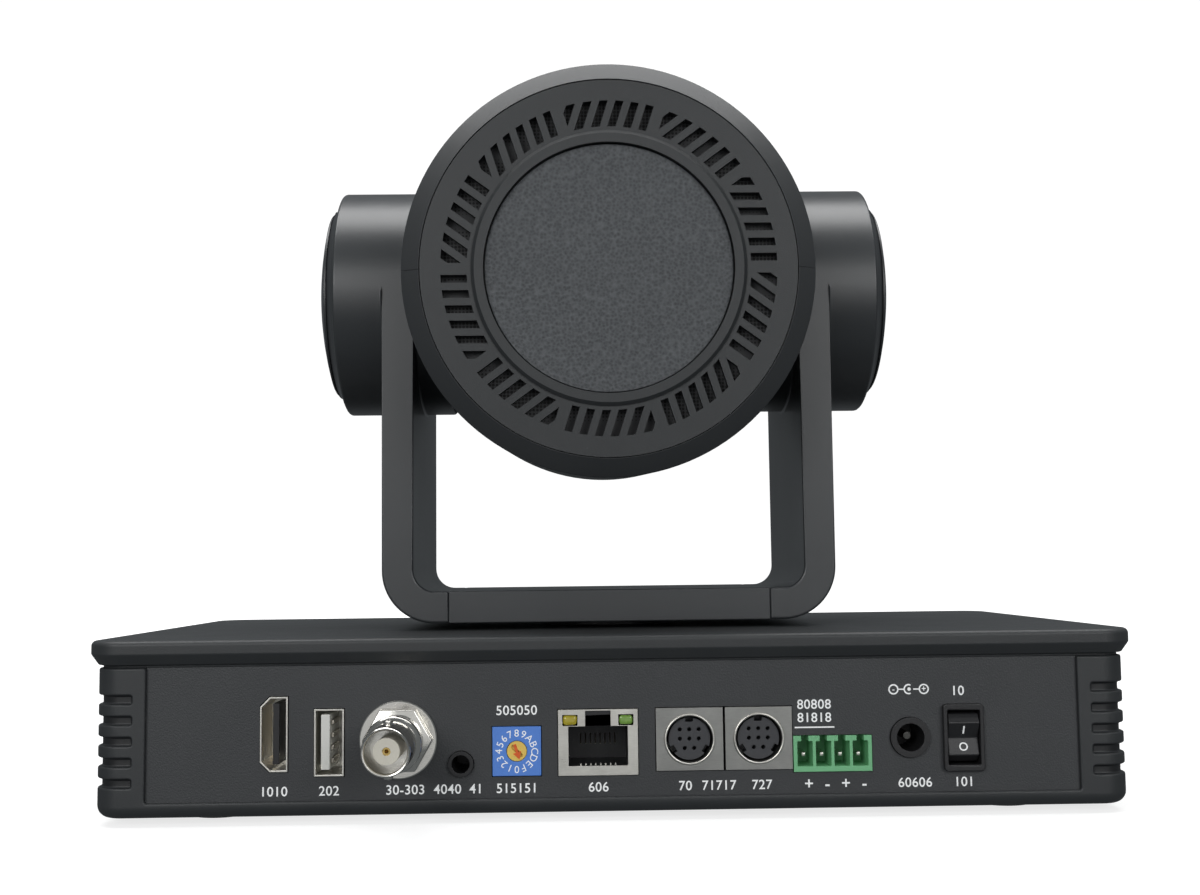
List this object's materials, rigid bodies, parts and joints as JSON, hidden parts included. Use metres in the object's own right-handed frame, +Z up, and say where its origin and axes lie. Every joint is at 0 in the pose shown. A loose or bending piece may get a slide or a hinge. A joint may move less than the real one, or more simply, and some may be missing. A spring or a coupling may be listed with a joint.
{
  "type": "ptz camera",
  "caption": "Desk camera that pans, tilts and zooms: a round head between the arms of a yoke, on a wide flat base with a row of sockets behind.",
  "frame": {"origin": "mouth of the tripod thread in the underside of the tray, on the pan axis", "axes": "+Z up, lens looks along -Y, sockets on the +Y side"},
  "size_m": [0.217, 0.1343, 0.1619],
  "materials": {
    "case": "fine satin grain",
    "grained_case": "coarse grain",
    "panel": "fine satin",
    "dark_plastic": "matte",
    "steel": "satin",
    "rubber": "matte",
    "brass": "machined",
    "smoked_window": "polished",
    "board": "solder mask",
    "nickel": "bright",
    "white_plastic": "matte",
    "ivory_plastic": "matte",
    "gold": "plated",
    "blue_plastic": "matte",
    "yellow_plastic": "matte",
    "led": "clear tinted",
    "green_plastic": "matte",
    "gear_plastic": "moulded",
    "glass": "coated",
    "aluminium": "cast"
  },
  "bodies": {
    "base": {"base_tray": "case", "base_lid": "case", "lid_screws": "steel", "rubber_feet": "rubber", "tripod_insert": "brass", "front_window": "smoked_window", "receiver_board": "board", "rear_panel": "panel", "main_board": "board", "board_components": "dark_plastic", "hdmi_shell": "nickel", "hdmi_tongue": "dark_plastic", "usb_shell": "nickel", "usb_tongue": "white_plastic", "bnc_body": "nickel", "bnc_nut": "nickel", "bnc_insulator": "ivory_plastic", "bnc_contact": "gold", "line_in_jack": "dark_plastic", "rotary_switch_body": "blue_plastic", "lan_shield": "nickel", "lan_insert": "dark_plastic", "lan_leds": "led", "control_shells": "nickel", "control_inserts": "dark_plastic", "terminal_header": "green_plastic", "terminal_pins": "nickel", "dc_jack": "dark_plastic", "dc_pin": "nickel", "switch_bezel": "dark_plastic", "pan_bearing": "steel", "pan_motor": "steel"},
    "rotary_dial": {"rotary_dial": "yellow_plastic"},
    "power_rocker": {"power_rocker": "dark_plastic"},
    "yoke": {"pan_hub": "case", "pan_gear": "gear_plastic", "yoke_bar": "case", "arm_left": "case", "arm_right": "case", "pod_caps": "case", "tilt_bearings": "steel", "tilt_motor": "steel"},
    "pan_pinion": {"pan_pinion": "gear_plastic"},
    "tilt_pinion": {"tilt_pinion": "brass"},
    "head": {"head_shell_upper": "case", "head_shell_lower": "case", "rear_cover": "case", "rear_plate": "grained_case", "vent_mesh": "dark_plastic", "front_bezel": "case", "front_glass": "glass", "lens_tube": "dark_plastic", "front_lens": "glass", "sensor_board": "board", "image_sensor": "dark_plastic", "camera_frame": "aluminium", "tilt_shafts": "steel", "tilt_gear": "gear_plastic"},
    "zoom_group": {"zoom_group": "dark_plastic"},
    "focus_group": {"focus_group": "dark_plastic"}
  },
  "joints": [
    {"name": "pan", "type": "hinge", "parent": "base", "child": "yoke", "pos_m": [0, 0, 0.0361], "axis": [0, 0, 1], "range_deg": [-170, 170]},
    {"name": "tilt", "type": "hinge", "parent": "yoke", "child": "head", "pos_m": [0, 0, 0.1156], "axis": [-1, 0, 0], "range_deg": [-33, 87]},
    {"name": "pan_pinion_spin", "type": "hinge", "parent": "base", "child": "pan_pinion", "pos_m": [0.02625, 0, 0.026], "axis": [0, 0, 1], "range_deg": [-681, 681]},
    {"name": "tilt_pinion_spin", "type": "hinge", "parent": "yoke", "child": "tilt_pinion", "pos_m": [0.0476, -0.013, 0.1156], "axis": [-1, 0, 0], "range_deg": [-291, 111]},
    {"name": "power_switch", "type": "hinge", "parent": "base", "child": "power_rocker", "pos_m": [-0.07185, 0.0544, 0.0142], "axis": [1, 0, 0], "range_deg": [0, 16]},
    {"name": "address_switch", "type": "hinge", "parent": "base", "child": "rotary_dial", "pos_m": [0.02015, 0.055, 0.0126], "axis": [0, 1, 0], "continuous": true},
    {"name": "zoom", "type": "slide", "parent": "head", "child": "zoom_group", "axis": [0, -0.9986, 0.0523], "range_m": [0, 0.019]},
    {"name": "focus", "type": "slide", "parent": "head", "child": "focus_group", "axis": [0, -0.9986, 0.0523], "range_m": [-0.004, 0.003]}
  ],
  "couplings": [
    {"joint": "pan_pinion_spin", "follows": "pan", "ratio": -4},
    {"joint": "tilt_pinion_spin", "follows": "tilt", "ratio": -3.3333}
  ]
}
